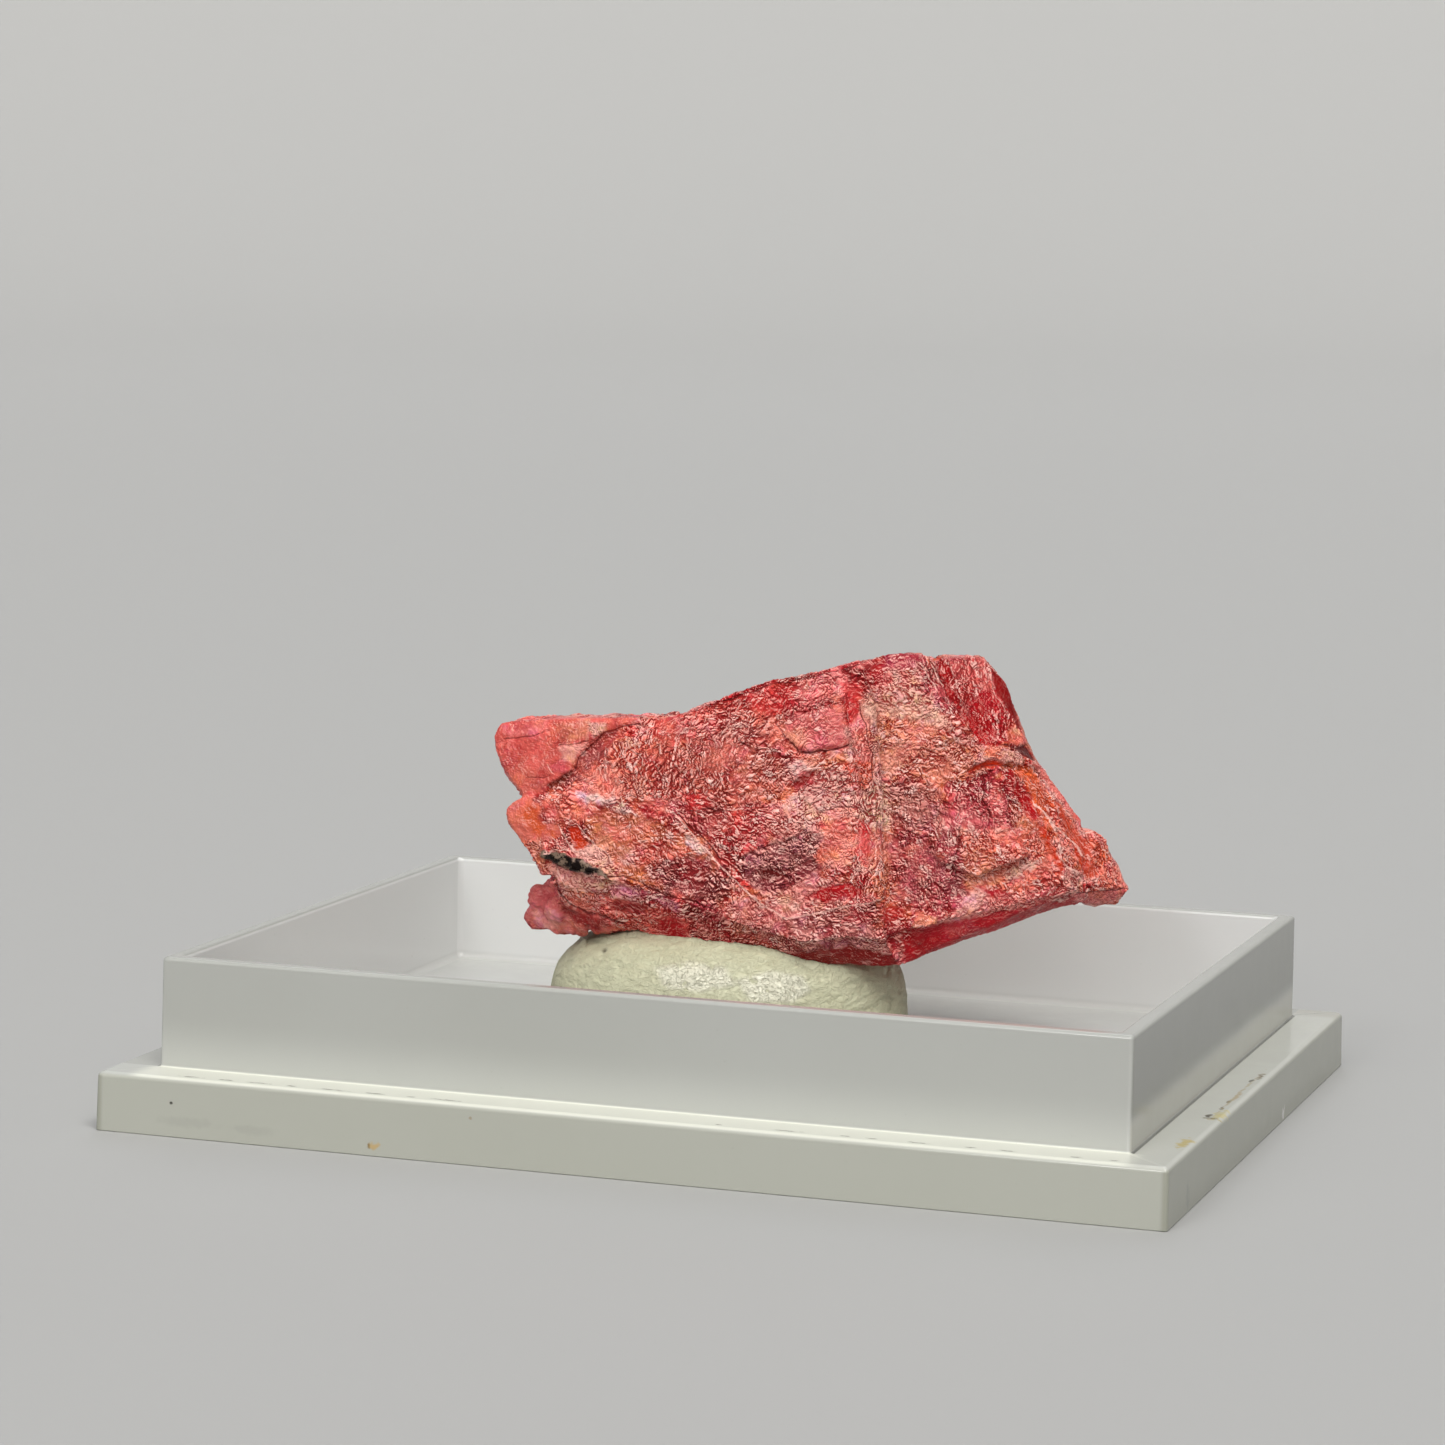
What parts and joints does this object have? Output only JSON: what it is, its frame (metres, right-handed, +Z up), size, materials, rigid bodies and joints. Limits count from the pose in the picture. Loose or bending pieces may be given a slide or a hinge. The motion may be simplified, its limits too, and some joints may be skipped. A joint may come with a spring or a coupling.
{
  "type": "rhodonite specimen",
  "caption": "Pink-red rhodonite cleavage fragment held by a lump of mineral tack in the open base of a shallow rectangular specimen box.",
  "frame": {"origin": "centre of the box base's foot, on the surface that it stands on", "axes": "+X along the long side of the box, +Y from the side that shows the stone's broad face towards the back, +Z up"},
  "size_m": [0.06, 0.048, 0.0264],
  "materials": {
    "box_plastic": "glossy off-white moulded polystyrene",
    "tack": "soft satin putty with kneading wrinkles",
    "rhodonite": "vitreous to pearly cleavage faces, pink-red with orange, mauve and beige zones and a black inclusion"
  },
  "bodies": {
    "root": {"box_base": "box_plastic", "mineral_tack": "tack", "rhodonite": "rhodonite"}
  },
  "joints": []
}
